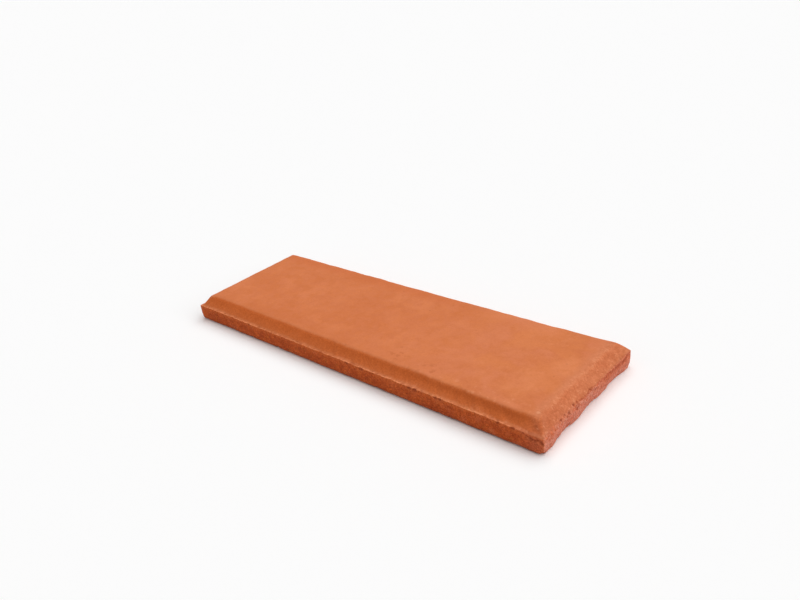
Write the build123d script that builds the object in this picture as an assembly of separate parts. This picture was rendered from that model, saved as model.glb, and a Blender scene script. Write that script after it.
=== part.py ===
from build123d import *
import os

# Thin fired-clay facing brick lying on its flat back.
# The show face is on top, its four sides are bevelled down to a narrow land,
# and below the land the sides stand upright.  One end has a broken lower edge.
# Frame: origin at the middle of the underside, +X along the length towards the
# broken end, -Y towards the long front side, +Z out of the show face.  mm.

LENGTH = 240.0          # overall, along X
WIDTH = 80.0            # overall, along Y
THICK = 14.0            # underside to show face
SIDE_H = 9.1            # upright side, underside to land
LAND = 1.2              # flat ledge at the foot of the bevel, long sides
LAND_PLAIN = 1.5        # the same ledge on the plain end, -X
LAND_BROKEN = 0.8       # the same ledge on the broken end, +X
INSET_FRONT = 6.5       # show face in from the overall outline, front, -Y
INSET_BACK = 6.0        # the same at the rear, +Y
INSET_PLAIN = 4.9       # the same at the plain end, -X
INSET_BROKEN = 6.0      # the same at the broken end, +X
CORNER_R = 1.1          # upright corners
FOOT_CORNER_R = 1.2     # bevel corners at the land
FACE_CORNER_R = 4.0     # bevel corners at the show face
RIM_R = 3.0             # soft roll from show face into bevel
FOOT_R = 0.5            # hollow where the bevel meets the land
ARRIS_R = 0.35          # worn outer edge of the land
BACK_R = 0.8            # rounding round the underside

# broken lower edge of the +X end: (Y, set-back from the end plane at the underside)
BREAK = [(-42.0, 0.75), (-38.0, 0.82), (-33.0, 0.80), (-30.0, 1.35), (-26.0, 1.80),
         (-23.0, 2.12), (-20.5, 2.25), (-18.5, 2.15), (-16.5, 1.60), (-14.0, 1.28),
         (-11.0, 1.12), (-8.5, 1.20), (-5.0, 1.68), (-1.0, 1.98), (3.2, 2.17),
         (6.5, 1.88), (8.5, 1.30), (12.0, 1.28), (17.0, 1.25), (20.0, 1.65),
         (22.5, 1.96), (26.0, 1.75), (29.0, 1.45), (32.0, 1.00), (35.0, 0.60),
         (39.0, 0.40), (42.0, 0.40)]
BREAK_TOP = 9.0         # height at which the break runs out past the end plane
BREAK_OUT = 0.40        # distance outside the end plane at that height
BREAK_LOW = -1.0        # start of the cut below the underside

# shallow scallops broken out of the +X end's upper edge: (Y, radius, depth)
SCALLOPS = [(-12.0, 5.0, 0.75), (4.5, 4.0, 0.5), (-20.5, 3.0, 0.35)]


def at_height(edges, z):
    return [e for e in edges
            if abs(e.bounding_box().min.Z - z) < 1e-3 and abs(e.bounding_box().max.Z - z) < 1e-3]


# slab with upright sides, worn upper edge and rounded underside
slab = extrude(RectangleRounded(LENGTH, WIDTH, CORNER_R), SIDE_H)
slab = fillet(at_height(slab.edges(), SIDE_H), ARRIS_R)
slab = fillet(at_height(slab.edges(), 0.0), BACK_R)

# bevelled crown standing on it
foot_len = LENGTH - LAND_PLAIN - LAND_BROKEN
foot_mid = (LAND_PLAIN - LAND_BROKEN) / 2
foot = RectangleRounded(foot_len, WIDTH - 2 * LAND, FOOT_CORNER_R)
face = RectangleRounded(LENGTH - INSET_PLAIN - INSET_BROKEN, WIDTH - INSET_FRONT - INSET_BACK, FACE_CORNER_R)
face_x = (INSET_PLAIN - INSET_BROKEN) / 2
face_y = (INSET_FRONT - INSET_BACK) / 2
crown = loft([Pos(foot_mid, 0, SIDE_H) * foot.face(), Pos(face_x, face_y, THICK) * face.face()], ruled=True)

brick = slab + crown


def along_foot(e):
    """True for the edges where the bevel meets the land, False for the worn outer edge."""
    c = e.center()
    depth = min(LENGTH / 2 - abs(c.X), WIDTH / 2 - abs(c.Y))
    return depth > (0.5 if e.geom_type == GeomType.LINE else 0.85)


# hollow at the bevel's foot, soft show-face rim
brick = fillet([e for e in at_height(brick.edges(), SIDE_H) if along_foot(e)], FOOT_R)
brick = fillet(at_height(brick.edges(), THICK), RIM_R)

# broken lower edge of the +X end
half = LENGTH / 2
grow = (BREAK_TOP - BREAK_LOW) / BREAK_TOP
low_pts = [(half + BREAK_OUT - (d + BREAK_OUT) * grow, y, BREAK_LOW) for y, d in BREAK]
top_pts = [(half + BREAK_OUT, y, BREAK_TOP) for y, d in BREAK]
OUT_X = half + 6.0


def sheet(curve, z):
    a, b = curve @ 0, curve @ 1
    rest = Polyline((b.X, b.Y, z), (OUT_X, b.Y, z), (OUT_X, a.Y, z), (a.X, a.Y, z))
    return make_face(curve.edges() + rest.edges())


low = sheet(Spline(*low_pts), BREAK_LOW)
top = sheet(Line(top_pts[0], top_pts[-1]), BREAK_TOP)
brick = brick - loft([low, top], ruled=True)

# scallops in the upper edge of the same end
for y, r, d in SCALLOPS:
    brick = brick - Pos(half + r - d, y, SIDE_H - 1.2) * Sphere(r)

solid = brick.solids()[0]
solid.label = "facing_brick"

os.makedirs("parts", exist_ok=True)
export_step(solid, "parts/facing_brick.step")
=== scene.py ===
import bpy
import math
import numpy as np
from mathutils import Matrix, Vector
from mathutils.geometry import delaunay_2d_cdt


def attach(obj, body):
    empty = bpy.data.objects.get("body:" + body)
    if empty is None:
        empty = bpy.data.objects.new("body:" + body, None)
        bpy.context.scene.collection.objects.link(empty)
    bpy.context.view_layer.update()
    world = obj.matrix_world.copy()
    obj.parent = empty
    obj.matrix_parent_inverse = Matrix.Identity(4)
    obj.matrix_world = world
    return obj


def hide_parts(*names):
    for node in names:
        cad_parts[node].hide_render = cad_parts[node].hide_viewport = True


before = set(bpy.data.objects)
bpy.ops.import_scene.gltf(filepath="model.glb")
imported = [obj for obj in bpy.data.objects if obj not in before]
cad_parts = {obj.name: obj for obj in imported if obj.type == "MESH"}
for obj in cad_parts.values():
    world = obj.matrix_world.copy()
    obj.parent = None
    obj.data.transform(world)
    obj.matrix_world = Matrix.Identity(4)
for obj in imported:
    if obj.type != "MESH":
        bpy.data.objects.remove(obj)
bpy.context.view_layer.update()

# ---------------------------------------------------------------- sizes, mm
HX, HY, THICK = 120.0, 40.0, 14.0       # half length, half width, thickness
SIDE_H = 9.1                            # upright side
LAND, INSET = 1.20, 6.0                 # ledge, and ledge with bevel, measured across
D_TOP = 9.0                             # inset where the show face's own mesh begins

# broken lower edge of the +X end: (Y, set-back at the underside)
BREAK = [(-42.0, 0.55), (-38.0, 0.62), (-33.0, 0.60), (-30.0, 1.15), (-26.0, 1.60),
         (-23.0, 1.92), (-20.5, 2.05), (-18.5, 1.95), (-16.5, 1.40), (-14.0, 1.08),
         (-11.0, 0.92), (-8.5, 1.00), (-5.0, 1.48), (-1.0, 1.78), (3.2, 1.97),
         (6.5, 1.68), (8.5, 1.10), (12.0, 1.08), (17.0, 1.05), (20.0, 1.45),
         (22.5, 1.76), (26.0, 1.55), (29.0, 1.25), (32.0, 0.80), (35.0, 0.40),
         (39.0, 0.20), (42.0, 0.20)]


# ---------------------------------------------------------------- noise
class Perlin:
    def __init__(self, seed):
        rng = np.random.RandomState(seed)
        p = rng.permutation(256)
        self.p = np.concatenate([p, p, p])
        g = rng.normal(size=(256, 3))
        self.g = g / np.linalg.norm(g, axis=1)[:, None]

    def __call__(self, P):
        i = np.floor(P).astype(np.int64)
        f = P - i
        i &= 255
        u = f * f * f * (f * (f * 6 - 15) + 10)
        out = 0.0
        for dx in (0, 1):
            wx = u[:, 0] if dx else 1 - u[:, 0]
            a = self.p[i[:, 0] + dx]
            for dy in (0, 1):
                wy = u[:, 1] if dy else 1 - u[:, 1]
                b = self.p[a + i[:, 1] + dy]
                for dz in (0, 1):
                    wz = u[:, 2] if dz else 1 - u[:, 2]
                    g = self.g[self.p[b + i[:, 2] + dz]]
                    q = f - np.array([dx, dy, dz])
                    out = out + wx * wy * wz * (g * q).sum(1)
        return out * 1.5


def fbm(noise, P, octaves=4, gain=0.5, lac=2.03):
    out, amp, tot = 0.0, 1.0, 0.0
    for k in range(octaves):
        out = out + amp * noise(P * lac ** k + 17.3 * k)
        tot += amp
        amp *= gain
    return out / tot


def pits(seed, P, cell, share, rmin, rmax):
    """Depth of round pits scattered in space, 0 to 1, one per cell at most."""
    rng = np.random.RandomState(seed)
    perm = rng.permutation(512)
    rnd = rng.rand(512, 5)
    Q = P / cell
    base = np.floor(Q).astype(np.int64)
    best = np.zeros(len(P))
    for dx in (-1, 0, 1):
        for dy in (-1, 0, 1):
            for dz in (-1, 0, 1):
                c = base + np.array([dx, dy, dz])
                h = perm[(perm[(perm[c[:, 0] & 511] + c[:, 1]) & 511] + c[:, 2]) & 511]
                r = rnd[h]
                rad = (rmin + (rmax - rmin) * r[:, 3] ** 2) / cell
                dist = np.linalg.norm(Q - (c + r[:, :3]), axis=1)
                depth = np.clip(1 - dist / rad, 0, 1) * (r[:, 4] < share) * rad * cell
                best = np.maximum(best, depth)
    return best


def step(a, b, x):
    t = np.clip((x - a) / (b - a), 0, 1)
    return t * t * (3 - 2 * t)


n1, n2, n3, n4 = Perlin(11), Perlin(23), Perlin(37), Perlin(51)

# ---------------------------------------------------------------- stations round the outline
N_LONG, N_LEFT, N_RIGHT, N_ARC = 520, 180, 236, 8
side_id, side_t = [], []
for kind, n in (("F", N_LONG), ("fr", N_ARC), ("R", N_RIGHT), ("br", N_ARC),
                ("B", N_LONG), ("bl", N_ARC), ("L", N_LEFT), ("fl", N_ARC)):
    side_id += [kind] * n
    side_t += list(np.arange(n) / n)
side_id, side_t = np.array(side_id), np.array(side_t)
NU = len(side_id)


CORNERS = {"fr": (0.7, 1.1, 3.0, 4.6), "br": (1.1, 1.4, 2.6, 3.8),
           "bl": (1.2, 1.2, 3.0, 4.4), "fl": (0.4, 0.7, 2.0, 3.6)}


def corner_r(d, k):
    """Plan radius of corner k at inset d."""
    return np.interp(d, [0, 0.9, 6.0, 9.0], CORNERS[k])


def ring(d):
    """Plan position of every station at inset d (one value per station)."""
    d = np.broadcast_to(np.asarray(d, float), (NU,))
    hx, hy = HX - d, HY - d
    r = {k: corner_r(d, k) for k in CORNERS}
    x, y = np.zeros(NU), np.zeros(NU)
    t = side_t

    def run(a, b):
        return a + (b - a) * t

    for k, fx, fy in (("F", run(-hx + r["fl"], hx - r["fr"]), -hy), ("R", hx, run(-hy + r["fr"], hy - r["br"])),
                      ("B", run(hx - r["br"], -hx + r["bl"]), hy), ("L", -hx, run(hy - r["bl"], -hy + r["fl"]))):
        m = side_id == k
        x[m], y[m] = fx[m], fy[m]
    for k, sx, sy, a0 in (("fr", 1, -1, -90), ("br", 1, 1, 0), ("bl", -1, 1, 90), ("fl", -1, -1, 180)):
        m = side_id == k
        a = np.radians(a0 + 90 * t)
        x[m] = (sx * (hx - r[k]) + r[k] * np.cos(a))[m]
        y[m] = (sy * (hy - r[k]) + r[k] * np.sin(a))[m]
    return x, y


bx, by = ring(0.0)                       # nominal outline
# share of the broken end at each station
at_end = np.where(side_id == "R", 1.0, 0.0)
at_end = np.where(side_id == "fr", step(0.0, 1.0, side_t), at_end)
at_end = np.where(side_id == "br", step(1.0, 0.0, side_t), at_end)
at_left = np.where(side_id == "L", 1.0, 0.0)
at_left = np.where(side_id == "bl", step(0.0, 1.0, side_t), at_left)
at_left = np.where(side_id == "fl", step(1.0, 0.0, side_t), at_left)

bk_y = np.array([b[0] for b in BREAK])
bk_d = np.array([b[1] for b in BREAK])


def vec(x, y, z):
    return np.stack(np.broadcast_arrays(x, y, z), 1).astype(float)


def side_setback(z):
    """Inset of the upright side at height z (one value per station), mm."""
    z = np.broadcast_to(np.asarray(z, float), (NU,))
    P = vec(bx, by, z)
    # plain sides: slow bow, dragged and granular skin, pits
    s = 0.12 + 0.10 * fbm(n1, P / np.array([38.0, 38.0, 60.0]), 2)
    s = s + 0.16 * fbm(n2, P / np.array([6.5, 6.5, 2.8]), 3)
    s = s + 0.17 * fbm(n3, P / np.array([1.8, 1.8, 1.3]), 3, 0.6)
    s = s + 0.65 * pits(5, P, 3.1, 0.30, 0.30, 0.85)
    s = s + 0.80 * pits(6, P, 9.0, 0.26, 0.7, 1.7)
    # a little drawn in towards the underside
    s = s + 0.16 * step(3.0, 0.0, z) * (0.5 + 0.5 * n4(P / np.array([9.0, 9.0, 50.0])))
    # upper edge worn back unevenly
    s = s + step(SIDE_H - 1.5, SIDE_H - 0.1, z) * (0.05 + 0.70 * np.maximum(0, fbm(n4, vec(bx, by, 0.0) / 3.6 + 2.0, 3, 0.62)) + 0.5 * pits(31, vec(bx, by, 0.0), 4.5, 0.35, 0.4, 1.3))
    # broken end
    d0 = np.interp(by, bk_y, bk_d)
    cut = np.maximum(0.0, (d0 + 0.4) * (1 - z / 9.0) - 0.4)
    rough = 0.16 + 0.34 * fbm(n2, P / np.array([7.0, 5.5, 4.0]) + 5.1, 3, 0.5)
    rough = rough + 0.36 * fbm(n3, P / 1.9 + 3.3, 4, 0.62)
    rough = rough + 0.16 * np.abs(fbm(n4, P / 0.95 + 7.7, 2))
    rough = rough + 0.7 * pits(9, P, 3.4, 0.30, 0.35, 1.1)
    e = cut + np.maximum(rough, 0.0)
    s = s * (1 - at_end) + e * at_end
    # two of the corners keep their tips
    tip = np.exp(-((bx + HX) ** 2 + (by + HY) ** 2) / 6.0 ** 2) + np.exp(-((bx - HX) ** 2 + (by - HY) ** 2) / 6.0 ** 2)
    return np.maximum(s * (1 - 0.9 * tip * step(2.0, 5.0, z)), 0.0)


def full_corner(x, y):
    """1 at the far corner of the broken end, which is full and round, falling off over 9 mm."""
    return np.exp(-((x - HX) ** 2 + (y - HY) ** 2) / 9.0 ** 2)


def crown_h(d, land, inset, rim, hollow):
    """Height of the crown over its inset d: ledge up to land, bevel up to inset, rolled with radius rim.
    hollow over 1: the bevel is flatter at its foot and steeper under the rim."""
    rise, run = THICK - SIDE_H, inset - land
    th = np.arctan(hollow * rise / run)
    tl = rim * np.tan(th / 2)
    z = SIDE_H + rise * np.clip((d - land) / run, 0, 1) ** hollow
    d0, d1 = inset - tl * np.cos(th), inset + tl
    arc = THICK - rim + np.sqrt(np.maximum(rim ** 2 - (d - d1) ** 2, 0))
    z = np.where((d >= d0) & (d < d1), np.minimum(arc, THICK), z)
    return np.where(d >= d1, THICK, z)


def crown_relief(x, y, d):
    """Sag below the plain crown, 0 or more, mm.  d is the inset."""
    P = vec(x, y, 0.0)
    s = 0.07 + 0.09 * fbm(n1, P / 46.0 + 2.2, 2)
    s = s + 0.035 * fbm(n2, P / 9.0 + 4.0, 3)
    s = s + 0.30 * pits(14, P + np.array([0, 0, 3.0]), 13.0, 0.28, 0.4, 1.0)
    # ledge: uneven height
    low = step(2.0, 0.9, d) * (0.18 + 0.44 * fbm(n2, P / 5.5 + 6.0, 3, 0.6) + 0.22 * fbm(n4, P / 1.9 + 4.4, 2))
    s = s + (low + 0.15 * np.clip(1.2 - d, 0, 1.2)) * (1 - 0.9 * full_corner(x, y))
    # bevel: slow ripples along it
    bev = step(0.6, 1.4, d) * step(7.2, 6.0, d)
    s = s + bev * (0.06 + 0.05 * fbm(n4, P / 11.0 + 8.0, 3))
    # rim: a little lumpy
    s = s + np.exp(-((d - 6.3) / 1.3) ** 2) * (0.05 + 0.10 * fbm(n3, P / 3.2 + 3.0, 3, 0.55))
    # granular towards the broken end
    g = step(92.0, 119.0, x)
    s = s + g * (0.05 + 0.07 * fbm(n3, P / 5.5 + 1.0, 3, 0.5) + 0.28 * pits(15, P, 5.0, 0.30, 0.4, 1.0))
    return np.maximum(s, 0.0)


# ---------------------------------------------------------------- rows across the section
P0 = vec(bx, by, SIDE_H)
land_w = LAND + (0.85 * fbm(n4, P0 / 9.0 + 9.0, 3) + 0.45 * n3(P0 / 2.6)) * (1 - 0.75 * at_end)
land_w = np.clip(land_w, 0.50, 1.95)
land_w = land_w + 0.3 * at_left - 0.40 * at_end * step(-40.0, -30.0, by)
full_u = full_corner(bx, by)
land_w = land_w + (0.35 - land_w) * full_u
inset_w = INSET + 0.65 * fbm(n1, P0 / 17.0 + 3.0, 2) + 0.26 * n3(P0 / 7.0)
inset_w = inset_w - 1.1 * at_left + np.where(by < 0, np.interp(bx, [-95.0, -25.0, 40.0, 95.0], [1.10, 0.63, 0.42, 0.0]),
                                             np.interp(bx, [-95.0, 20.0, 85.0, 105.0], [0.4, 0.1, -0.6, -1.2])) * (1 - at_left) * (1 - at_end)
rim_r = np.interp(bx, [-100.0, -20.0, 60.0, 110.0], [5.6, 3.8, 2.5, 1.9]) * (1 - at_end) * (1 - at_left) + 2.8 * at_end + 1.9 * at_left
rim_r = rim_r + (3.2 - rim_r) * full_u
hollow_u = np.interp(bx, [-100.0, -30.0, 40.0, 100.0], [1.05, 1.08, 1.30, 1.45]) * (1 - at_end) + 1.12 * at_end
hollow_u = hollow_u + (0.78 - hollow_u) * full_u
rb = (0.75 + 0.30 * n1(P0 / 8.0)) * (1 - at_end) + 0.35 * at_end

rows_xy, rows_z, rows_kind, rows_d = [], [], [], []


def add_row(d, z, kind):
    x, y = ring(d)
    rows_xy.append(np.stack([x, y], 1))
    rows_z.append(np.broadcast_to(np.asarray(z, float), (NU,)).copy())
    rows_d.append(np.broadcast_to(np.asarray(d, float), (NU,)).copy())
    rows_kind.append(kind)


s0 = side_setback(np.zeros(NU))
add_row(s0 + rb + 0.7, 0.0, "under")
for phi in (0, 30, 60):
    a = math.radians(phi)
    z = rb * (1 - math.cos(a))
    add_row(side_setback(z) + rb * (1 - math.sin(a)), z, "side")

# where the side meets the crown
za = np.full(NU, SIDE_H)
for _ in range(8):
    da = side_setback(za)
    za = 0.5 * za + 0.5 * (crown_h(da, land_w, inset_w, rim_r, hollow_u) - crown_relief(*ring(da), da))
fr = np.concatenate([np.linspace(0, 0.9, 19), [0.935, 0.965, 0.985]])
for q in fr:
    z = rb + (za - rb) * q
    add_row(side_setback(z), z, "side")
da = side_setback(za)
ARRIS = len(rows_z)
D = [0.0, 0.12, 0.28, 0.48, 0.70, 0.90, 1.10, 1.45, 2.05, 2.75, 3.45, 4.1, 4.7, 5.15, 5.55, 5.95, 6.35, 6.75, 7.2, 7.7, 8.3, 9.0]
for k in D:
    d = da + (D_TOP - da) * k / D_TOP
    x, y = ring(d)
    z = crown_h(d, land_w, inset_w, rim_r, hollow_u) - crown_relief(x, y, d)
    add_row(d, z, "crown")

NR = len(rows_z)
G = np.zeros((NR, NU, 3))
for k in range(NR):
    G[k, :, :2] = rows_xy[k]
    G[k, :, 2] = rows_z[k]

# wear the arris and soften the foot of the bevel: relax those rows along the section only
for it in range(3):
    H = G.copy()
    for k in range(ARRIS - 3, ARRIS + 9):
        w = 0.5 if k <= ARRIS + 2 else 0.35
        G[k] = (1 - w) * H[k] + w * 0.5 * (H[k - 1] + H[k + 1])

# towards the near corner the front ledge rolls over into the side
roll_u = (0.85 * (1 - at_end) * (by < 0) * step(102.0, 115.0, bx))[:, None]
for it in range(12):
    H = G.copy()
    for k in range(ARRIS - 5, ARRIS + 7):
        G[k] = (1 - 0.5 * roll_u) * H[k] + 0.25 * roll_u * (H[k - 1] + H[k + 1])

# broken end: its near half has hardly any upper edge left, it rolls over
soft_u = (at_end * step(-6.0, -16.0, by))[:, None]
for it in range(44):
    H = G.copy()
    for k in range(ARRIS - 14, ARRIS + 11):
        G[k] = (1 - 0.5 * soft_u) * H[k] + 0.25 * soft_u * (H[k - 1] + H[k + 1])
arc = np.concatenate([np.zeros((1, NU)), np.cumsum(np.linalg.norm(np.diff(G, axis=0), axis=2), 0)])
arc = arc - arc[ARRIS]                   # along the section, from the upper edge: below it negative
for k in range(ARRIS - 14, ARRIS + 11):
    rough = 0.16 * fbm(n3, G[k] / 1.5 + 5.2, 3, 0.6) + 0.5 * pits(41, G[k], 2.8, 0.30, 0.3, 0.8)
    rough = rough * soft_u[:, 0] * np.exp(-(arc[k] / 3.0) ** 2)
    G[k, :, 0] -= np.maximum(rough, 0)
    G[k, :, 2] -= 0.6 * np.maximum(rough, 0)
# a ragged tear runs along the rest of that edge, at first above it, then below
tear_c = np.interp(by, [-12, -8, 4, 8, 14, 18, 25, 32, 38], [0.9, 0.6, 0.6, 0.2, -0.1, -0.4, -1.4, -1.9, -1.0])
tear_c = tear_c + 1.4 * fbm(n2, vec(by, 0.0, 0.0) / 3.4 + 1.7, 3, 0.6)
tear_s = at_end * np.interp(by, [-14, -11, -6, 6, 12, 18, 32, 36, 39], [0, 0.45, 0.5, 0.5, 0.7, 0.8, 1.0, 0.9, 0])
tear_s = tear_s * np.clip(0.85 + 1.3 * fbm(n4, vec(by, 3.0, 0.0) / 2.6 + 4.1, 3, 0.6), 0.25, 1.2)
tear_w = np.interp(by, [-10, 8, 20, 32], [0.45, 0.60, 1.05, 1.25])
tear = np.clip(tear_s * np.exp(-((arc - tear_c) / tear_w) ** 2), 0, 1)
G[:, :, 0] -= 0.38 * tear
G[:, :, 2] -= 0.16 * tear * (arc > 0)
# painted shade: a darker, redder band just under the torn upper edge in the far half of the end
torn_shade = at_end * step(4.0, 13.0, by) * step(0.8, -0.4, arc) * step(-7.0, -3.5, arc)

# ---------------------------------------------------------------- show face and underside
def fill(loop_xy, spacing, margin):
    lo, hi = loop_xy.min(0), loop_xy.max(0)
    nx = int(round((hi[0] - lo[0]) / spacing))
    ny = int(round((hi[1] - lo[1]) / (spacing * 0.866)))
    rng = np.random.RandomState(3)
    pts = []
    for j in range(1, ny):
        y = lo[1] + (hi[1] - lo[1]) * j / ny
        for i in range(nx + 1):
            x = lo[0] + (hi[0] - lo[0]) * (i + 0.5 * (j % 2)) / nx
            pts.append((x, y))
    pts = np.array(pts) + rng.uniform(-0.12, 0.12, (len(pts), 2)) * spacing
    # keep the points that lie well inside the loop
    a, b = loop_xy, np.roll(loop_xy, -1, 0)
    inside = np.zeros(len(pts), bool)
    near = np.full(len(pts), 1e9)
    for s in range(0, len(a), 64):
        aa, bb = a[s:s + 64], b[s:s + 64]
        cond = (aa[None, :, 1] > pts[:, None, 1]) != (bb[None, :, 1] > pts[:, None, 1])
        with np.errstate(divide="ignore", invalid="ignore"):
            xx = (bb[None, :, 0] - aa[None, :, 0]) * (pts[:, None, 1] - aa[None, :, 1]) / (bb[None, :, 1] - aa[None, :, 1]) + aa[None, :, 0]
        inside ^= ((cond & (pts[:, None, 0] < xx)).sum(1) % 2).astype(bool)
        near = np.minimum(near, np.linalg.norm(pts[:, None, :] - aa[None], axis=2).min(1))
    pts = pts[inside & (near > margin)]
    n = len(loop_xy)
    verts = [Vector(p) for p in loop_xy] + [Vector(p) for p in pts]
    out = delaunay_2d_cdt(verts, [(i, (i + 1) % n) for i in range(n)], [list(range(n))], 1, 1e-9)
    origin = [o[0] for o in out[3]]
    tris = [tuple(origin[i] for i in t) for t in out[2]]
    return pts, tris


top_loop = G[NR - 1, :, :2]
top_pts, top_tris = fill(top_loop, 1.02, 0.42)
top_z = THICK - crown_relief(top_pts[:, 0], top_pts[:, 1], np.full(len(top_pts), 9.5))
under_loop = G[0, :, :2]
un_pts, un_tris = fill(under_loop, 2.6, 0.8)
un_z = 0.05 * np.abs(fbm(n2, vec(un_pts[:, 0], un_pts[:, 1], 0.0) / 7.0, 3)) + 0.5 * pits(21, vec(un_pts[:, 0], un_pts[:, 1], 0.0), 16.0, 0.3, 1.2, 3.0)

V = np.concatenate([G.reshape(-1, 3), np.column_stack([top_pts, top_z]), np.column_stack([un_pts, un_z])])
NB = NR * NU
row_of = np.concatenate([np.repeat(np.arange(NR), NU), np.full(len(top_pts), NR), np.full(len(un_pts), -1)])

# ---------------------------------------------------------------- chips
# painted shade: how dark each scooped nick is painted in the finish
nick_shade = np.zeros(len(V))


def scoop(centre, radius, direction, seed_shift, rough=0.16, mark=1.0, long=1.0):
    """Moves what lies inside a rough ball along direction until it lies on the ball.
    mark: how much painted shade the scooped hollow gets.  long: drawn out along X by that factor (direction has no X
    then)."""
    c, u = np.array(centre, float), np.array(direction, float)
    u = u / np.linalg.norm(u)
    fit = np.array([1 / long, 1, 1])
    near = np.where(np.linalg.norm((V - c) * fit, axis=1) < radius * 1.5)[0]
    if not len(near):
        return
    q = (V[near] - c) * fit
    r = radius * (1 + rough * fbm(n3, V[near] / (0.75 * radius) + seed_shift, 3))
    b = q @ u
    disc = b * b - ((q * q).sum(1) - r * r)
    t = -b + np.sqrt(np.maximum(disc, 0))
    hit = ((q * q).sum(1) < r * r) & (disc > 0)
    t = np.where(hit, t, 0.0)
    V[near] += t[:, None] * u
    nick_shade[near] = np.maximum(nick_shade[near], mark * np.clip(t / 0.5, 0, 1))


rng = np.random.RandomState(77)
ISQ = math.sqrt(0.5)
# nicks under the front ledge, and smaller ones anywhere along it
front_nicks = [(-73.0, 1.2, 0.68, 1.3, 0.6, 0.8), (5.9, 1.2, 0.80, 1.3, 0.8, 0.9), (16.2, 1.1, 0.74, 2.0, 0.8, 0.9), (47.6, 1.1, 0.76, 1.4, 0.9, 0.9), (50.8, 1.2, 0.84, 1.4, 0.8, 0.9),
               (63.0, 1.2, 0.75, 1.6, 0.6, 1.0), (65.6, 1.2, 0.80, 1.6, 0.7, 1.0), (97.2, 1.2, 0.70, 1.4, 0.6, 0.8), (104.6, 1.1, 0.65, 1.6, 0.6, 0.8)]
for x, r, dep, long, drop, mark in front_nicks:
    scoop((x, -HY - 0.15 - (r - dep), SIDE_H - drop), r, (0, 1, -0.15), x, 0.35, mark, long)
for side in range(4):
    n = (64, 4, 64, 24)[side]
    for _ in range(n):
        s = rng.uniform(-0.98, 0.98)
        r = rng.uniform(0.55, 1.7)
        dep = rng.uniform(0.10, 0.42)
        k = r - dep
        out = ((0, -1), (1, 0), (0, 1), (-1, 0))[side]
        cx = s * HX if out[0] == 0 else out[0] * HX
        cy = s * HY if out[1] == 0 else out[1] * HY
        scoop((cx + out[0] * k * ISQ, cy + out[1] * k * ISQ, SIDE_H + k * ISQ), r, (-out[0], -out[1], -1), rng.rand() * 50, 0.25, 0.45)
# upper edge of the broken end: three shallow scallops and a ragged line of crumbs
for y, r, dep in [(-12.0, 5.0, 0.75), (4.5, 4.0, 0.5), (-20.5, 3.0, 0.35)]:
    scoop((HX + r - dep - 0.15, y, SIDE_H - 1.0), r, (-1, 0, 0), y, 0.25, 0.10)
end_st = np.where(side_id == "R")[0]
for y, a, r, dep in [(-25.4, 0.0, 1.05, 0.46), (-18.8, -0.3, 1.15, 0.52), (-14.0, 1.1, 0.95, 0.52), (-31.0, -1.2, 0.7, 0.25), (-22.4, 1.4, 0.6, 0.25), (-11.2, 0.9, 0.8, 0.32), (1.2, 0.6, 0.7, 0.3)]:
    k = end_st[np.argmin(np.abs(by[end_st] - y))]
    at = G[np.argmin(np.abs(arc[:, k] - a)), k]
    u = np.array([0.75, 0.0, 0.66])
    scoop(at + u * (r - dep), r, -u, y, 0.35, 0.42)
# lower edge of every side
for side in range(4):
    for _ in range((60, 16, 60, 20)[side]):
        s = rng.uniform(-0.98, 0.98)
        r = rng.uniform(0.6, 2.4)
        dep = r * rng.uniform(0.22, 0.42)
        k = r - dep
        out = ((0, -1), (1, 0), (0, 1), (-1, 0))[side]
        cx = s * HX if out[0] == 0 else out[0] * HX
        cy = s * HY if out[1] == 0 else out[1] * HY
        if side == 0 and 103.0 < cx < 118.0:
            continue
        scoop((cx + out[0] * k * ISQ, cy + out[1] * k * ISQ, -k * ISQ + 0.1), r, (-out[0], -out[1], 1), rng.rand() * 50)
# corners
for cx, cy, cz, dx, dy, dz, r, dep, mark in [
        (HX, -HY, 0.0, 0.8, -0.8, -1.5, 5.0, 1.9, 0.5), (-HX, -HY, 0.0, -1, -1, -0.9, 4.5, 1.1, 0.6), (HX, HY, 0.0, 1, 1, -1.2, 4.2, 2.0, 0.4), (-HX, HY, 0.0, -1, 1, -0.7, 3.6, 1.2, 0.6),
        (HX, -HY, SIDE_H, 0.45, -0.75, 1.0, 7.0, 1.75, 0.10), (-HX, HY, SIDE_H, -1, 1, 0.7, 2.6, 0.6, 0.3)]:
    u = np.array([dx, dy, dz], float)
    u /= np.linalg.norm(u)
    scoop(np.array([cx, cy, cz]) + u * (r - dep), r, -u, r, 0.12, mark)

# a crooked groove under the front ledge by the near corner, with a lip over it
front_st = np.where(side_id == "F")[0]
for x, z, r, dep in [(110.2, 7.6, 0.65, 0.35), (111.5, 7.2, 0.80, 0.45), (112.9, 6.8, 0.85, 0.48), (114.4, 6.6, 0.72, 0.40), (115.8, 6.8, 0.65, 0.36),
                     (117.0, 7.2, 0.68, 0.42), (118.2, 7.2, 0.80, 0.52), (119.2, 6.5, 0.85, 0.48)]:
    k = front_st[np.argmin(np.abs(bx[front_st] - x))]
    col_v = V[np.arange(ARRIS + 1) * NU + k]
    at = col_v[np.argmin(np.abs(col_v[:, 2] - z))]
    scoop((at[0], at[1] - (r - dep), at[2]), r, (0, 1, 0.1), x, 0.30, 0.50, 1.7)

# stay inside the plain outline
V[:, 0] = np.clip(V[:, 0], -HX, HX)
V[:, 1] = np.clip(V[:, 1], -HY, HY)
V[:, 2] = np.clip(V[:, 2], 0.0, THICK)

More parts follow.
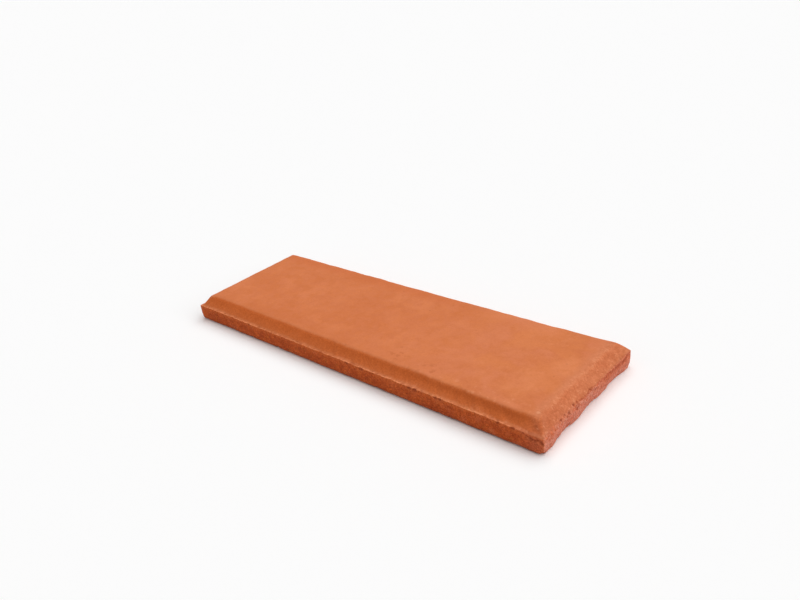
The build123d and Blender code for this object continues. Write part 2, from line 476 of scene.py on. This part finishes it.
# ---------------------------------------------------------------- faces
i = np.arange(NU)
j = (i + 1) % NU
quads = []
for k in range(NR - 1):
    quads.append(np.stack([k * NU + i, k * NU + j, (k + 1) * NU + j, (k + 1) * NU + i], 1))
quads = np.concatenate(quads)
faces = [tuple(q) for q in quads.tolist()]
tl = (NR - 1) * NU
for t in top_tris:
    faces.append(tuple(tl + a if a < NU else NB + a - NU for a in t))
ub = NB + len(top_pts)
for t in un_tris:
    faces.append(tuple(a if a < NU else ub + a - NU for a in reversed(t)))

mesh = bpy.data.meshes.new("facing_brick_body")
mesh.from_pydata((V / 1000.0).tolist(), [], faces)
mesh.update()
for p in mesh.polygons:
    p.use_smooth = True

# ---------------------------------------------------------------- what the finish reads
kind_side = (row_of >= 0) & (row_of < ARRIS)
x, y, z = V[:, 0], V[:, 1], V[:, 2]
inset = np.minimum(HX - np.abs(x), HY - np.abs(y))
st = np.concatenate([np.tile(np.arange(NU), NR), np.zeros(len(top_pts) + len(un_pts), int)])
end = np.where(np.arange(len(V)) < NB, at_end[st], 0.0)
rest = len(top_pts) + len(un_pts)
late = np.where(side_id == "fr", step(0.55, 1.0, side_t), at_end)
end_tone = np.where(np.arange(len(V)) < NB, late[st], 0.0)
side = kind_side * (1 - end)
# the end's own tone begins above its upper edge where that edge is gone
soft_v = soft_u[:, 0]
brk = at_end * np.where(soft_v > 0, soft_v * step(3.2, -2.2, arc), 0.0) + at_end * (1 - soft_v) * step(0.7, -0.3, arc)
brk = np.concatenate([brk.ravel(), np.zeros(rest)]) * (row_of >= 0)
# ledge band: the finish paints it pale, partly wear and partly painted highlight
ledge = np.exp(-((row_of - ARRIS - 2.4) / 2.4) ** 2) * (1 - 0.9 * step(97.0, 112.0, x)) * ((row_of >= 0) & (row_of <= NR - 1)) * (1 - end)
inset_v = np.where(np.arange(len(V)) < NB, inset_w[st], INSET)
# rim band: the finish paints it pale, partly wear and partly painted highlight
rim = np.exp(-((inset - inset_v - 0.6) / 1.0) ** 2) * ((row_of > ARRIS + 6) & (row_of <= NR)) * (0.6 + 0.1 * step(112.0, 114.0, x))
land_v = np.where(np.arange(len(V)) < NB, land_w[st], LAND)
waver = 0.38 * fbm(n2, vec(x, y, z) / 2.6 + 2.0, 3, 0.55)
bevel = step(0.0, 0.9, inset - land_v) * step(0.5, -0.6, inset - inset_v + waver) * (row_of > ARRIS) * (1 - 0.72 * end_tone)
bevel = bevel * (0.80 + 0.20 * step(2.0, 5.0, inset))
# painted shade: a darker band on the bevel just under the rim, strongest towards the near corner
painted_shade_under_rim = np.exp(-((inset_v - inset - 1.2) / 1.1) ** 2) * (row_of > ARRIS) * (row_of < NR) * np.interp(x, [0, 60, 100, 108, 115], [0.15, 0.6, 1.0, 0.8, 0.2]) * (1 - end)
gran = (row_of > ARRIS) * step(108.0, 115.5, x)
scuff = sum(k * np.exp(-((x - c) / wd) ** 2) for c, wd, k in ((49.0, 5.0, 0.8), (67.0, 4.0, 0.6), (84.5, 4.5, 1.0))) * np.exp(-((inset - 1.7) / 1.1) ** 2) * (row_of > ARRIS) * (row_of < NR) * (y < 0)
# mitres: partly wear and partly painted highlight where the bevel rounds the corners, added to the rim's pale
t_mid = np.where(side_id == "fr", 0.85, 0.5)
t_at = np.where(np.isin(side_id, ["fr", "br", "bl", "fl"]), np.exp(-((side_t - t_mid) / 0.30) ** 2), 0.0) * np.where(side_id == "fr", 0.15, 0.5)
mitre_highlight = np.where(np.arange(len(V)) < NB, t_at[st], 0.0) * (row_of > ARRIS + 5) * (row_of < NR - 5)
rim = np.maximum(rim, mitre_highlight)
# painted shade on the bevel where it rounds the near corner into the end
mitre_shade_u = np.where(side_id == "fr", 1.0, 0.0) + np.where(side_id == "R", step(0.045, 0.0, side_t), 0.0) + np.where(side_id == "F", 0.7 * step(0.990, 1.0, side_t), 0.0)
mitre_shade = np.where(np.arange(len(V)) < NB, mitre_shade_u[st], 0.0) * step(1.2, 2.4, inset) * step(6.4, 5.2, inset) * (row_of > ARRIS)
# painted highlight along the inner ridge of the end's bevel
end_ridge_highlight = np.exp(-((HX - x - 8.0) / 2.2) ** 2) * (row_of > ARRIS + 6) * step(HY - 4.0, HY - 9.0, np.abs(y)) * step(60.0, 100.0, x)
# painted shade along the ragged tear, read by the finish
tear_shade_v = np.concatenate([tear.ravel(), np.zeros(rest)])
torn_shade_v = np.concatenate([torn_shade.ravel(), np.zeros(rest)])
under = np.where(row_of <= 0, 1.0, 0.0)

# crests and hollows of the rough skin
nor = np.empty(len(V) * 3, np.float32)
mesh.vertex_normals.foreach_get("vector", nor)
nor = nor.reshape(-1, 3)[:NB].reshape(NR, NU, 3)
Gv = V[:NB].reshape(NR, NU, 3)
mean = np.zeros_like(Gv)
for a in (-2, -1, 0, 1, 2):
    k = np.clip(np.arange(NR) + a, 0, NR - 1)
    for b in (-3, -2, -1, 0, 1, 2, 3):
        mean += np.roll(Gv[k], b, axis=1)
mean /= 35.0
cav = np.zeros(len(V))
cav[:NB] = (((Gv - mean) * nor).sum(2) / 0.12).ravel()
cav = np.clip(cav, -1, 1)
dull = np.interp(x, [94.0, 103.0, 109.0, 114.0, 120.0], [0.0, 0.30, 0.80, 0.40, 0.30]) * np.exp(-((row_of - ARRIS - 1.5) / 4.5) ** 2) * (1 - end) * (y < 0)
near_arris = np.exp(-((row_of - ARRIS) / 2.5) ** 2)
cav = np.where(cav > 0, cav * (1 - 0.8 * near_arris), cav)
cav = cav * ((row_of >= 2) & (row_of <= ARRIS + 5))

for name, val in (("side", side), ("brk", brk), ("ledge", ledge), ("rim", rim), ("bevel", bevel), ("nick_shade", nick_shade), ("gran", gran), ("dull", dull), ("end_ridge_highlight", end_ridge_highlight), ("scuff", scuff), ("mitre_shade", mitre_shade), ("tear", tear_shade_v), ("torn_shade", torn_shade_v), ("painted_shade_under_rim", painted_shade_under_rim),
                  ("crest", np.maximum(cav, 0)), ("hollow", np.maximum(-cav, 0)), ("under", under)):
    a = mesh.attributes.new(name, "FLOAT", "POINT")
    a.data.foreach_set("value", np.asarray(val, np.float32))

# ---------------------------------------------------------------- flat layout of the surface: crown, four sides, underside
corner_v = np.empty(len(mesh.loops), np.int32)
mesh.loops.foreach_get("vertex_index", corner_v)
first = np.empty(len(mesh.polygons), np.int32)
count = np.empty(len(mesh.polygons), np.int32)
mesh.polygons.foreach_get("loop_start", first)
mesh.polygons.foreach_get("loop_total", count)
face_of = np.repeat(np.arange(len(first)), count)
NQ = len(quads)
NT = len(top_tris)
q_row = np.repeat(np.arange(NR - 1), NU)
q_st = np.tile(np.arange(NU), NR - 1)
group = {"F": 0, "fr": 0, "R": 1, "br": 1, "B": 2, "bl": 2, "L": 3, "fl": 3}
st_group = np.array([group[k] for k in side_id])
face_chart = np.concatenate([np.where(q_row >= ARRIS, 0, np.where(q_row == 0, 1, 2 + st_group[q_st])), np.zeros(NT, int), np.ones(len(un_tris), int)])
chart = face_chart[face_of]
# distance round the outline, and up the section
gap = np.hypot(np.diff(np.append(bx, bx[0])), np.diff(np.append(by, by[0])))
run_at = np.concatenate([[0], np.cumsum(gap)])
start = np.array([run_at[np.where(st_group == g)[0][0]] for g in range(4)])
row_gap = np.linalg.norm(np.diff(Gv, axis=0), axis=2).mean(1)
rise_at = np.concatenate([[0], np.cumsum(row_gap)])
SU = 0.975 / 243.0                       # layout units per mm along the length
SX, SY, SS = SU, SU * 1.28, SU * 1.9     # along, across the faces, up the sides
uv = np.zeros((len(corner_v), 2))
vx, vy = V[corner_v, 0], V[corner_v, 1]
m = chart == 0
uv[m, 0] = 0.5 + vx[m] * SX
uv[m, 1] = 0.985 - (HY - vy[m]) * SY
low = 0.985 - 2 * HY * SY - 0.016
m = chart == 1
uv[m, 0] = 0.5 + vx[m] * SX
uv[m, 1] = 0.010 + (vy[m] + HY) * SU * 0.86
tall = rise_at[ARRIS] * SS
lift = np.array([low - tall, low - 3 * tall - 0.028, low - 2 * tall - 0.014, low - 3 * tall - 0.028])
shift = np.array([0.0, 0.0, 0.0, 0.5])
c_row = np.clip(row_of[corner_v], 0, NR - 1)
c_st = corner_v % NU
for g in range(4):
    m = chart == 2 + g
    along = run_at[c_st[m]]
    along = np.where(along < start[g] - 1e-6, along + run_at[-1], along)
    uv[m, 0] = 0.0125 + shift[g] + (along - start[g]) * SU
    uv[m, 1] = lift[g] + rise_at[c_row[m]] * SS
layer = mesh.uv_layers.new(name="OFBake")
layer.uv.foreach_set("vector", uv.astype(np.float32).ravel())

brick = bpy.data.objects.new("facing_brick_body", mesh)
bpy.context.scene.collection.objects.link(brick)


# ---------------------------------------------------------------- material
class Nodes:
    def __init__(self, tree):
        self.t = tree
        tree.nodes.clear()

    def new(self, kind, **props):
        n = self.t.nodes.new(kind)
        for k, v in props.items():
            setattr(n, k, v)
        return n

    def put(self, socket, v):
        if isinstance(v, bpy.types.NodeSocket):
            self.t.links.new(v, socket)
        elif v is not None:
            socket.default_value = v

    def math(self, op, a, b=None, c=None, clamp=False):
        n = self.new("ShaderNodeMath", operation=op, use_clamp=clamp)
        for s, v in zip(n.inputs, (a, b, c)):
            self.put(s, v)
        return n.outputs[0]

    def mix(self, f, a, b, blend="MIX"):
        n = self.new("ShaderNodeMix", data_type="RGBA", blend_type=blend)
        self.put(n.inputs[0], f)
        self.put(n.inputs[6], a if isinstance(a, bpy.types.NodeSocket) else (*a, 1.0))
        self.put(n.inputs[7], b if isinstance(b, bpy.types.NodeSocket) else (*b, 1.0))
        return n.outputs[2]

    def attr(self, name):
        return self.new("ShaderNodeAttribute", attribute_name=name).outputs["Fac"]

    def noise(self, vec_, scale, detail=2.0, rough=0.5, dist=0.0):
        n = self.new("ShaderNodeTexNoise")
        self.put(n.inputs["Vector"], vec_)
        n.inputs["Scale"].default_value = scale
        n.inputs["Detail"].default_value = detail
        n.inputs["Roughness"].default_value = rough
        n.inputs["Distortion"].default_value = dist
        return n.outputs["Fac"]

    def span(self, v, a, b, c=0.0, d=1.0):
        n = self.new("ShaderNodeMapRange", interpolation_type="SMOOTHSTEP")
        self.put(n.inputs[0], v)
        for k, q in zip((1, 2, 3, 4), (a, b, c, d)):
            n.inputs[k].default_value = q
        return n.outputs[0]

    def voronoi(self, vec_, scale):
        n = self.new("ShaderNodeTexVoronoi")
        self.put(n.inputs["Vector"], vec_)
        n.inputs["Scale"].default_value = scale
        return n.outputs["Distance"], n.outputs["Color"]


mat = bpy.data.materials.new("fired_clay")
mat.use_nodes = True
N = Nodes(mat.node_tree)
out = N.new("ShaderNodeOutputMaterial")
bsdf = N.new("ShaderNodeBsdfPrincipled")
N.put(out.inputs["Surface"], bsdf.outputs[0])
tc = N.new("ShaderNodeTexCoord")
mm = N.new("ShaderNodeVectorMath", operation="SCALE")
N.put(mm.inputs[0], tc.outputs["Object"])
mm.inputs["Scale"].default_value = 1000.0
P = mm.outputs[0]
a_side, a_brk, a_ledge, a_rim, a_bevel, a_nick_shade, a_gran, a_crest, a_hollow, a_tear_shade, a_torn_shade = (
    N.attr(k) for k in ("side", "brk", "ledge", "rim", "bevel", "nick_shade", "gran", "crest", "hollow", "tear", "torn_shade"))
a_skin = N.math("ADD", a_side, a_brk, clamp=True)


def share(v, k):
    return N.math("MULTIPLY", v, k, clamp=True)


def near(place, r0, r1):
    n = N.new("ShaderNodeVectorMath", operation="DISTANCE")
    N.put(n.inputs[0], P)
    n.inputs[1].default_value = place
    return N.span(n.outputs["Value"], r1, r0)


# show face: slow mottling between clay tones, paler than the bevel and sides, partly the clay's own tone and partly
# painted sheen of the lit face
m1 = N.span(N.noise(P, 0.045, 3.0, 0.55, 0.3), 0.36, 0.66)
m2 = N.span(N.noise(P, 0.11, 4.0, 0.6, 0.4), 0.40, 0.72)
m3 = N.span(N.noise(P, 0.40, 3.0, 0.6, 0.2), 0.38, 0.68)
col = N.mix(m1, (0.650, 0.182, 0.058), (0.705, 0.213, 0.078))
col = N.mix(share(m2, 0.6), col, (0.610, 0.164, 0.046))
col = N.mix(share(m3, 0.17), col, (0.735, 0.225, 0.080))
hue = N.span(N.noise(P, 0.24, 3.0, 0.6, 0.3), 0.36, 0.64)
col = N.mix(share(hue, 0.30), col, (0.655, 0.196, 0.088))
along = N.new("ShaderNodeSeparateXYZ")
N.put(along.inputs[0], P)
col = N.mix(N.span(along.outputs[0], 10.0, 105.0, 0.0, 0.30), col, (0.715, 0.232, 0.094))
e3 = N.span(N.noise(P, 0.12, 4.0, 0.62, 0.4), 0.42, 0.64)
col = N.mix(share(N.math("MULTIPLY", e3, N.span(along.outputs[0], 25.0, 100.0)), 0.34), col, (0.622, 0.174, 0.058))
e4 = N.span(N.noise(P, 0.27, 4.0, 0.66, 0.5), 0.44, 0.62)
col = N.mix(share(N.math("MULTIPLY", e4, N.span(along.outputs[0], 15.0, 95.0, 0.25, 1.0)), 0.26), col, (0.600, 0.160, 0.050))
e6 = N.span(N.noise(P, 0.062, 3.0, 0.6, 0.5), 0.46, 0.62)
col = N.mix(share(N.math("MULTIPLY", e6, N.span(along.outputs[0], 35.0, 95.0)), 0.34), col, (0.605, 0.168, 0.056))
e7 = N.noise(P, 0.055, 2.0, 0.5, 0.4)
right_x = N.span(along.outputs[0], 20.0, 70.0)
col = N.mix(share(N.math("MULTIPLY", N.span(e7, 0.50, 0.62), right_x), 0.34), col, (0.715, 0.226, 0.108))
col = N.mix(share(N.math("MULTIPLY", N.span(e7, 0.50, 0.38), right_x), 0.34), col, (0.720, 0.222, 0.068))
e5 = N.span(N.noise(P, 0.19, 3.0, 0.6, 0.4), 0.52, 0.66)
col = N.mix(share(N.math("MULTIPLY", e5, N.span(along.outputs[0], 40.0, 100.0)), 0.30), col, (0.750, 0.252, 0.105))
col = N.mix(share(N.math("MULTIPLY", N.span(along.outputs[1], 22.0, 30.0), N.span(along.outputs[0], 38.0, 10.0)), 0.50), col, (0.628, 0.156, 0.046))
col = N.mix(share(N.math("MULTIPLY", N.span(along.outputs[1], 22.0, 30.0), N.math("MULTIPLY", N.span(along.outputs[0], 38.0, 58.0), N.span(along.outputs[0], 92.0, 82.0))), 0.40), col, (0.765, 0.248, 0.112))
streak = N.math("MAXIMUM", near((96.0, -13.0, 14.0), 3.0, 13.0), near((107.0, 3.0, 14.0), 3.0, 13.0))
streak = N.math("MULTIPLY", streak, N.span(N.noise(P, 0.16, 3.0, 0.6, 0.4), 0.36, 0.60, 0.45, 1.0))
col = N.mix(share(streak, 0.54), col, (0.765, 0.252, 0.104))
col = N.mix(share(N.math("MULTIPLY", N.span(along.outputs[1], -20.0, -30.0), N.span(along.outputs[0], 46.0, 30.0)), 0.26), col, (0.600, 0.160, 0.050))
# towards the broken end: duller and pinker
col = N.mix(share(a_gran, 0.68), col, (0.566, 0.180, 0.082))
e1 = N.span(N.noise(P, 0.15, 3.0, 0.6, 0.4), 0.38, 0.64)
col = N.mix(share(N.math("MULTIPLY", a_gran, e1), 0.70), col, (0.520, 0.132, 0.050))
e2 = N.span(N.noise(P, 0.075, 3.0, 0.6, 0.4), 0.44, 0.62)
col = N.mix(share(N.math("MULTIPLY", a_gran, e2), 0.46), col, (0.680, 0.236, 0.112))
col = N.mix(share(N.math("MULTIPLY", a_gran, N.span(along.outputs[1], -8.0, -26.0)), 0.36), col, (0.480, 0.128, 0.052))
# bevel: deeper and redder than the show face, partly its own tone and partly painted shade of a face turned from the
# light
bev = N.mix(m2, (0.632, 0.135, 0.026), (0.606, 0.124, 0.022))
bev = N.mix(share(m3, 0.20), bev, (0.680, 0.160, 0.034))
# painted shade just under the rim
bev = N.mix(share(N.attr("painted_shade_under_rim"), 0.62), bev, (0.510, 0.098, 0.017))
bev = N.mix(N.span(along.outputs[0], 106.0, 116.0, 0.0, 0.60), bev, (0.630, 0.150, 0.048))
col = N.mix(a_bevel, col, bev)
# sides: redder still, patchy; partly their own tone and partly painted shade of faces turned from the light
s1 = N.span(N.noise(P, 0.17, 4.0, 0.66, 0.7), 0.38, 0.64)
s2 = N.span(N.noise(P, 0.55, 3.0, 0.62, 0.3), 0.42, 0.68)
s3 = N.span(N.noise(P, 0.12, 3.0, 0.6, 0.6), 0.53, 0.68)
s4 = N.span(N.noise(P, 0.26, 3.0, 0.6, 0.5), 0.56, 0.70)
scol = N.mix(s1, (0.500, 0.077, 0.0125), (0.640, 0.116, 0.0195))
scol = N.mix(share(s2, 0.38), scol, (0.390, 0.060, 0.012))
scol = N.mix(share(s4, 0.55), scol, (0.560, 0.140, 0.022))
scol = N.mix(share(s3, 0.40), scol, (0.690, 0.165, 0.058))
s5 = N.noise(P, 0.24, 3.0, 0.62, 0.4)
scol = N.mix(share(N.math("MULTIPLY", N.span(s5, 0.47, 0.35), right_x), 0.32), scol, (0.420, 0.064, 0.013))
scol = N.mix(share(N.math("MULTIPLY", N.span(s5, 0.53, 0.65), right_x), 0.32), scol, (0.680, 0.150, 0.050))
col = N.mix(a_side, col, scol)
# the back side and back bevel get less of that painted shade: paler towards the back
col = N.mix(share(N.math("MULTIPLY", a_side, N.span(along.outputs[1], -30.0, 0.0)), 0.35), col, (0.600, 0.150, 0.062))
col = N.mix(share(N.math("MULTIPLY", a_bevel, N.span(along.outputs[1], 5.0, 25.0)), 0.35), col, (0.660, 0.180, 0.062))
# broken end: paler and pinker
b1 = N.span(N.noise(P, 0.30, 4.0, 0.62, 0.4), 0.34, 0.66)
b2 = N.span(N.noise(P, 0.95, 3.0, 0.6), 0.45, 0.70)
bcol = N.mix(b1, (0.570, 0.148, 0.076), (0.745, 0.252, 0.158))
bcol = N.mix(share(b2, 0.66), bcol, (0.790, 0.370, 0.275))
b3 = N.span(N.noise(P, 0.60, 3.0, 0.6, 0.3), 0.50, 0.66)
bcol = N.mix(share(b3, 0.76), bcol, (0.660, 0.110, 0.030))
# painted shade: the band under the torn upper edge, darker and redder
bcol = N.mix(share(a_torn_shade, 0.75), bcol, N.mix(b1, (0.590, 0.130, 0.052), (0.690, 0.174, 0.078)))
col = N.mix(a_brk, col, bcol)
# lower part of the end greyer, side and ledge by the near corner redder and duller
low_z = N.span(along.outputs[2], 7.0, 3.5)
col = N.mix(share(N.math("MULTIPLY", a_brk, low_z), 0.30), col, (0.660, 0.240, 0.170))
col = N.mix(share(N.math("MULTIPLY", a_side, N.span(along.outputs[0], 106.0, 116.0)), 0.45), col, (0.600, 0.142, 0.066))
col = N.mix(share(N.math("MULTIPLY", a_side, N.span(along.outputs[2], 5.6, 8.4)), 0.28), col, (0.760, 0.165, 0.034))
# painted shade along the foot of the sides
col = N.mix(share(N.math("MULTIPLY", a_side, N.span(along.outputs[2], 2.2, 0.4)), 0.42), col, (0.330, 0.062, 0.022))
col = N.mix(share(N.math("MULTIPLY", N.math("MULTIPLY", a_brk, N.span(along.outputs[1], -24.0, -33.0)), N.span(along.outputs[2], 3.5, 6.5)), 0.40), col, (0.600, 0.150, 0.062))
col = N.mix(share(N.attr("dull"), 0.85), col, (0.540, 0.118, 0.045))
# painted shade where the bevel rounds the near corner
col = N.mix(share(N.attr("mitre_shade"), 0.36), col, (0.460, 0.116, 0.046))
# crests rubbed, hollows dark
col = N.mix(share(a_crest, 0.20), col, (0.740, 0.230, 0.095))
col = N.mix(share(a_hollow, 0.60), col, (0.330, 0.056, 0.018))
# edges rubbed pale: partly wear and partly painted highlight where the ledge, rim and mitres catch the light; the
# ledge's pale line is broken by darker gaps
w = N.noise(P, 0.36, 4.0, 0.65)
w2 = N.noise(P, 0.42, 3.0, 0.6)
rub_and_highlight = N.math("MULTIPLY", N.math("MULTIPLY", a_ledge, N.span(w, 0.42, 0.58, 0.22, 1.0)), N.span(w2, 0.41, 0.57, 0.14, 1.0), clamp=True)
rub_and_highlight = N.math("MULTIPLY", rub_and_highlight, N.span(along.outputs[0], -20.0, 55.0, 0.74, 1.0))
col = N.mix(share(N.math("MULTIPLY", a_ledge, N.span(w2, 0.46, 0.36)), 0.60), col, (0.400, 0.072, 0.021))
col = N.mix(rub_and_highlight, col, (0.860, 0.305, 0.132))
col = N.mix(N.math("MULTIPLY", a_rim, N.span(w, 0.25, 0.7, 0.10, 0.42)), col, (0.750, 0.235, 0.090))
sc = N.span(N.noise(P, 0.55, 3.0, 0.6, 0.6), 0.42, 0.60, 0.15, 1.0)
col = N.mix(share(N.math("MULTIPLY", N.attr("scuff"), sc), 0.50), col, (0.770, 0.250, 0.110))
# painted highlight along the inner ridge of the end's bevel
col = N.mix(share(N.attr("end_ridge_highlight"), 0.45), col, (0.745, 0.250, 0.110))
# flecks along the rim and on the end's bevel
f1 = N.noise(P, 0.48, 2.0, 0.55, 0.3)
zone = N.math("MAXIMUM", N.math("MULTIPLY", a_rim, N.span(along.outputs[0], 20.0, 95.0, 0.25, 1.30)), N.math("MULTIPLY", a_gran, 0.70))
strip = N.math("MULTIPLY", N.span(along.outputs[1], -25.0, -30.5), N.span(along.outputs[0], 25.0, 90.0, 0.10, 0.55))
zone = N.math("MAXIMUM", zone, N.math("MULTIPLY", strip, N.math("SUBTRACT", 1.0, N.math("MAXIMUM", a_bevel, a_side))))
zone = N.math("MULTIPLY", zone, N.math("SUBTRACT", 1.0, N.math("MAXIMUM", a_brk, a_side)))
col = N.mix(share(N.math("MULTIPLY", zone, N.span(f1, 0.57, 0.70)), 0.60), col, (0.815, 0.320, 0.155))
col = N.mix(share(N.math("MULTIPLY", zone, N.span(f1, 0.44, 0.32)), 0.40), col, (0.540, 0.136, 0.046))
# painted shade in the nicks and chips, and along the ragged tear under the end's upper edge
col = N.mix(share(a_nick_shade, 0.60), col, (0.380, 0.070, 0.025))
col = N.mix(share(a_tear_shade, 0.75), col, (0.440, 0.082, 0.030))
# painted highlight: one small pale spot on the show face by the near corner
col = N.mix(share(near((112.0, -31.0, 13.9), 0.4, 1.3), 0.55), col, (0.820, 0.360, 0.190))
# grain
g1 = N.noise(P, 1.2, 3.0, 0.65)
g2 = N.noise(P, 0.42, 4.0, 0.68, 0.3)
g3 = N.noise(P, 1.9, 2.0, 0.6)
deep = N.math("ADD", 0.40, N.math("ADD", N.math("MULTIPLY_ADD", a_skin, 1.80, N.math("MULTIPLY", a_bevel, 0.95)), N.math("MULTIPLY", a_gran, 0.50)))
gf = N.math("MULTIPLY_ADD", N.math("MULTIPLY", N.math("SUBTRACT", g1, 0.5), deep), 0.55, 1.0)
gf = N.math("ADD", gf, N.math("MULTIPLY", N.math("MULTIPLY", N.math("SUBTRACT", g2, 0.5), a_gran), 0.62))
gf = N.math("ADD", gf, N.math("MULTIPLY", N.math("MULTIPLY", N.math("SUBTRACT", g3, 0.5), a_skin), 1.25))
grain = N.new("ShaderNodeCombineColor")
for k, gain in enumerate((0.80, 1.25, 1.65)):
    N.put(grain.inputs[k], N.math("MULTIPLY_ADD", N.math("SUBTRACT", gf, 1.0), gain, 1.0))
col = N.mix(1.0, col, grain.outputs[0], "MULTIPLY")
# dark specks: two loose clusters of smudges on the show face, a few pin holes elsewhere
groups = N.math("MAXIMUM", near((30.5, -25.5, 14.0), 3.0, 9.0), near((51.5, -30.0, 14.0), 3.0, 9.0))
smudge = N.math("MULTIPLY", N.span(N.noise(P, 0.40, 1.0, 0.5), 0.52, 0.68), groups)
col = N.mix(share(smudge, 0.40), col, (0.480, 0.118, 0.036))
vd, vc = N.voronoi(P, 0.50)
sep = N.new("ShaderNodeSeparateColor")
N.put(sep.inputs[0], vc)
pick = N.math("LESS_THAN", sep.outputs[0], 0.008)
speck = N.math("MULTIPLY", N.span(vd, 0.42, 0.05), pick)
col = N.mix(share(speck, 0.25), col, (0.360, 0.090, 0.034))
N.put(bsdf.inputs["Base Color"], col)

# roughness
rf = N.span(N.noise(P, 0.3, 4.0, 0.6), 0.3, 0.7, 0.76, 0.88)
N.put(bsdf.inputs["Roughness"], N.math("ADD", rf, N.math("MULTIPLY", a_skin, 0.10), clamp=True))
bsdf.inputs["Specular IOR Level"].default_value = 0.20

# fine skin
amp = N.math("ADD", 0.24, N.math("ADD", N.math("MULTIPLY", a_skin, 0.60), N.math("MULTIPLY", a_gran, 0.22)))
h1 = N.noise(P, 1.1, 5.0, 0.62)
h2 = N.noise(P, 3.2, 2.0, 0.5)
hh = N.math("ADD", N.math("MULTIPLY", h1, 0.7), N.math("MULTIPLY", h2, 0.3))
bump = N.new("ShaderNodeBump")
bump.inputs["Distance"].default_value = 0.00050
N.put(bump.inputs["Strength"], amp)
N.put(bump.inputs["Height"], hh)
N.put(bsdf.inputs["Normal"], bump.outputs[0])

brick.data.materials.append(mat)
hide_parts("facing_brick")
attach(brick, "root")

# ---------------------------------------------------------------- floor, light, camera
fm = bpy.data.materials.new("floor_paper")
fm.use_nodes = True
fb = fm.node_tree.nodes["Principled BSDF"]
fb.inputs["Base Color"].default_value = (0.99, 0.99, 0.99, 1)
fb.inputs["Roughness"].default_value = 1.0
fb.inputs["Specular IOR Level"].default_value = 0.0
me = bpy.data.meshes.new("floor")
S = 40.0
me.from_pydata([(-S, -S, -0.0002), (S, -S, -0.0002), (S, S, -0.0002), (-S, S, -0.0002)], [], [(0, 1, 2, 3)])
floor = bpy.data.objects.new("floor", me)
floor.data.materials.append(fm)
bpy.context.scene.collection.objects.link(floor)


def sun(name, direction, share, angle, colour=(1, 1, 1)):
    """A soft light from that direction; share is what it adds on a surface square to it."""
    d = bpy.data.lights.new(name, "SUN")
    d.energy = math.pi * share
    d.angle = math.radians(angle)
    d.color = colour
    o = bpy.data.objects.new(name, d)
    o.rotation_mode = "QUATERNION"
    o.rotation_quaternion = Vector(direction).normalized().to_track_quat("Z", "Y")
    bpy.context.scene.collection.objects.link(o)
    return o


sun("key", (0.80, 0.20, 0.55), 0.25, 40)
sun("top", (0.05, 0.35, 0.94), 0.64, 70)
sun("fill", (-0.25, -0.85, 0.45), 0.05, 60)

world = bpy.data.worlds.new("studio")
bpy.context.scene.world = world
world.use_nodes = True
W = Nodes(world.node_tree)
wo = W.new("ShaderNodeOutputWorld")
bg = W.new("ShaderNodeBackground")
lp = W.new("ShaderNodeLightPath")
wc = W.mix(lp.outputs["Is Camera Ray"], (0.22, 0.22, 0.22), (0.97, 0.97, 0.97))
W.put(bg.inputs["Color"], wc)
W.put(wo.inputs["Surface"], bg.outputs[0])

cam = bpy.data.cameras.new("camera")
cam.lens = 36.0 * 722.64 / 800.0
cam.sensor_width = 36.0
cam.sensor_fit = "HORIZONTAL"
cam.clip_start, cam.clip_end = 0.01, 200.0
co = bpy.data.objects.new("camera", cam)
right = Vector((0.75327, 0.64808, -0.11214))
up = Vector((-0.22451, 0.41363, 0.88233))
back = Vector((0.61821, -0.63946, 0.45707))
m = Matrix.Identity(4)
for k in range(3):
    m[k][0], m[k][1], m[k][2] = right[k], up[k], back[k]
m.translation = Vector((0.24445, -0.24198, 0.19971))
co.matrix_world = m
bpy.context.scene.collection.objects.link(co)
bpy.context.scene.camera = co

vs = bpy.context.scene.view_settings
vs.view_transform = "Standard"
vs.look = "None"
vs.exposure = 0.0
vs.gamma = 1.0
